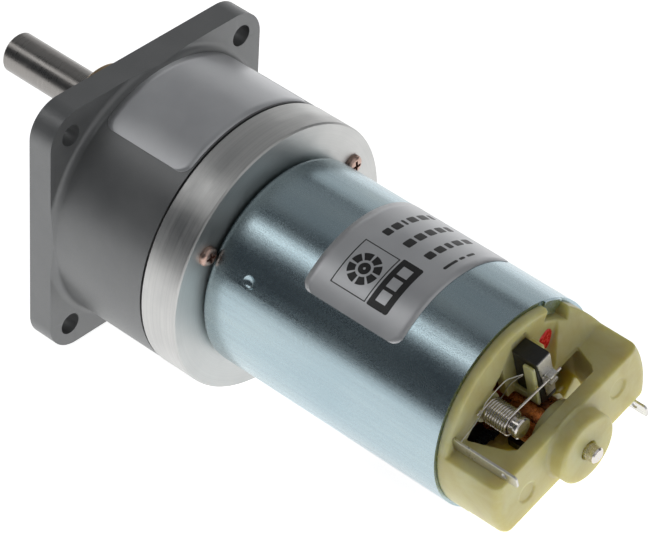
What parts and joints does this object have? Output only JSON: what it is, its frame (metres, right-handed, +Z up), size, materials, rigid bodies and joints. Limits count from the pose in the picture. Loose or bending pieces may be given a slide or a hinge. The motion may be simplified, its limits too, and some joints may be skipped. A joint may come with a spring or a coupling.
{
  "type": "geared dc motor",
  "caption": "Brushed permanent-magnet dc motor with a spur gearhead, an offset output shaft, a square mounting flange and an open nylon brush cap.",
  "frame": {"origin": "centre of the mounting flange's front face, on the motor axis and in the middle of the four flange holes", "axes": "+X along the output shaft, away from the motor; +Z up, from the motor axis to the offset output shaft; +Y completes the right-handed frame"},
  "size_m": [0.1407, 0.053, 0.053],
  "materials": {
    "cast_grey": "satin die-cast zinc, dark grey",
    "bronze": "oil-filled sintered bronze",
    "ground_steel": "ground steel",
    "gear_steel": "hobbed steel, oiled",
    "gear_brass": "hobbed brass",
    "black_steel": "blackened spring steel",
    "gasket": "thin black gasket",
    "machined_aluminium": "turned, fine tool marks",
    "screw_copper": "copper-flashed steel screw",
    "zinc_steel": "blue-passivated zinc plate",
    "ferrite": "sintered ferrite",
    "lamination": "stacked electrical steel",
    "copper": "enamelled copper",
    "phenolic": "moulded phenolic",
    "nylon": "natural nylon, slightly translucent",
    "carbon": "graphite",
    "nickel": "bright nickel plate",
    "tin": "tinned brass",
    "washer": "acetal",
    "label_dark": "dark printed film",
    "label_silver": "satin silver film"
  },
  "bodies": {
    "motor_body": {"gearbox_housing": "cast_grey", "output_bush": "bronze", "thrust_washer": "washer", "gearbox_gasket": "gasket", "rear_plate": "machined_aluminium", "plate_screws": "screw_copper", "motor_mount_screws": "ground_steel", "arbor_b": "ground_steel", "arbor_c": "ground_steel", "spacer_washers": "washer", "spacer_sleeve_front": "washer", "spacer_sleeve_rear": "washer", "motor_can": "zinc_steel", "magnet_upper": "ferrite", "magnet_lower": "ferrite", "magnet_clips": "ground_steel", "front_bearing": "bronze", "rear_bearing": "bronze", "brush_cap": "nylon", "spring_post_a": "nickel", "spring_post_b": "nickel", "terminal_a": "tin", "terminal_b": "tin", "brush_lead_a": "copper", "brush_lead_b": "copper", "gearbox_label": "label_silver", "motor_label": "label_silver", "lower_label": "label_dark"},
    "output": {"output_shaft": "ground_steel", "output_gear": "gear_steel", "shaft_retaining_ring": "black_steel"},
    "cluster_1": {"gear_cluster_1": "gear_brass"},
    "cluster_2": {"gear_cluster_2": "gear_steel"},
    "cluster_3": {"gear_cluster_3": "gear_steel"},
    "rotor": {"motor_shaft": "ground_steel", "motor_pinion": "gear_brass", "armature_core": "lamination", "armature_windings": "copper", "commutator_core": "phenolic", "commutator_segments": "copper"},
    "brush_unit_a": {"brush_a": "carbon", "brush_clip_a": "tin"},
    "brush_unit_b": {"brush_b": "carbon", "brush_clip_b": "tin"},
    "spring_unit_a": {"brush_spring_a": "nickel"},
    "spring_unit_b": {"brush_spring_b": "nickel"}
  },
  "joints": [
    {"name": "rotor_spin", "type": "hinge", "parent": "motor_body", "child": "rotor", "pos_m": [-0.062, 0, 0], "axis": [1, 0, 0], "continuous": true},
    {"name": "cluster_1_spin", "type": "hinge", "parent": "motor_body", "child": "cluster_1", "pos_m": [-0.023, 0.00861, -0.00509], "axis": [1, 0, 0], "continuous": true},
    {"name": "cluster_2_spin", "type": "hinge", "parent": "motor_body", "child": "cluster_2", "pos_m": [-0.019, -0.00849, -0.00509], "axis": [1, 0, 0], "continuous": true},
    {"name": "cluster_3_spin", "type": "hinge", "parent": "motor_body", "child": "cluster_3", "pos_m": [-0.014, 0.00861, -0.00509], "axis": [1, 0, 0], "continuous": true},
    {"name": "output_spin", "type": "hinge", "parent": "motor_body", "child": "output", "pos_m": [-0.012, 0, 0.0098], "axis": [1, 0, 0], "continuous": true},
    {"name": "brush_a_slide", "type": "slide", "parent": "motor_body", "child": "brush_unit_a", "axis": [0, 0.2924, 0.9563], "range_m": [0, 0.001], "stiffness_N_per_m": 300, "springref_m": -0.003},
    {"name": "brush_b_slide", "type": "slide", "parent": "motor_body", "child": "brush_unit_b", "axis": [0, -0.2924, -0.9563], "range_m": [0, 0.001], "stiffness_N_per_m": 300, "springref_m": -0.003},
    {"name": "spring_a_swing", "type": "hinge", "parent": "motor_body", "child": "spring_unit_a", "pos_m": [-0.0955, 0.00903, 0.0056], "axis": [1, 0, 0], "range_deg": [-6.3, 0]},
    {"name": "spring_b_swing", "type": "hinge", "parent": "motor_body", "child": "spring_unit_b", "pos_m": [-0.0955, -0.00903, -0.0056], "axis": [1, 0, 0], "range_deg": [-6.3, 0]}
  ],
  "couplings": [
    {"joint": "cluster_1_spin", "follows": "rotor_spin", "ratio": -0.33333},
    {"joint": "cluster_2_spin", "follows": "rotor_spin", "ratio": 0.10853},
    {"joint": "cluster_3_spin", "follows": "rotor_spin", "ratio": -0.035334},
    {"joint": "output_spin", "follows": "rotor_spin", "ratio": 0.012146},
    {"joint": "spring_a_swing", "follows": "brush_a_slide", "rad_per_m": -107.5},
    {"joint": "spring_b_swing", "follows": "brush_b_slide", "rad_per_m": -107.5}
  ]
}
